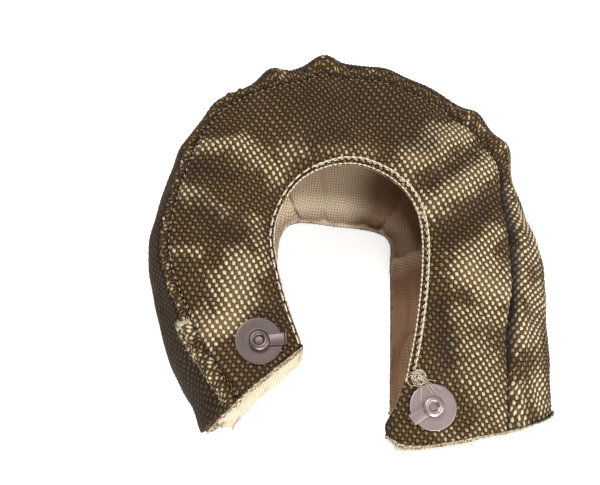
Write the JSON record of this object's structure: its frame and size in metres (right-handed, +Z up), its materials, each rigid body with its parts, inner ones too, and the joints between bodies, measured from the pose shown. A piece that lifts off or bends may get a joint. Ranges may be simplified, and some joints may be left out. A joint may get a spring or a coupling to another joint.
{
  "type": "turbo heat blanket",
  "caption": "Horseshoe-shaped quilted heat shield that wraps a turbine housing and laces shut across its open legs.",
  "frame": {"origin": "middle of the underside of the bounding box, on the surface that the blanket lies on", "axes": "+Z up from the back face to the front face, +Y toward the top of the arch, +X to the right seen from the front"},
  "size_m": [0.2016, 0.2032, 0.0781],
  "materials": {
    "outer_cloth": "coarse plain weave of flat glossy mineral yarns, dark bronze with pale gold glints",
    "lining_cloth": "fine plain weave, tan to cream, matte",
    "silica_wool": "needled white fibre mat, matte",
    "sewing_thread": "pale cream twisted yarn, slightly fuzzy",
    "stainless_steel": "satin stamped steel with worn bright edges"
  },
  "bodies": {
    "root": {"back_insulation_mat": "silica_wool", "back_left_backing_washer": "stainless_steel", "back_left_hook_strap": "stainless_steel", "back_left_rivet": "stainless_steel", "back_left_washer": "stainless_steel", "back_lining": "lining_cloth", "back_mouth_topstitch": "sewing_thread", "back_outer_panel": "outer_cloth", "back_right_backing_washer": "stainless_steel", "back_right_hook_strap": "stainless_steel", "back_right_rivet": "stainless_steel", "back_right_washer": "stainless_steel", "front_insulation_mat": "silica_wool", "front_left_backing_washer": "stainless_steel", "front_left_hook_strap": "stainless_steel", "front_left_rivet": "stainless_steel", "front_left_washer": "stainless_steel", "front_lining": "lining_cloth", "front_mouth_edge_stitch": "sewing_thread", "front_mouth_topstitch": "sewing_thread", "front_outer_panel": "outer_cloth", "front_right_backing_washer": "stainless_steel", "front_right_hook_strap": "stainless_steel", "front_right_rivet": "stainless_steel", "front_right_washer": "stainless_steel", "left_end_binding": "outer_cloth", "right_end_binding": "outer_cloth", "rim_insulation_mat": "silica_wool", "rim_lining": "lining_cloth", "rim_outer_panel": "outer_cloth"}
  },
  "joints": []
}
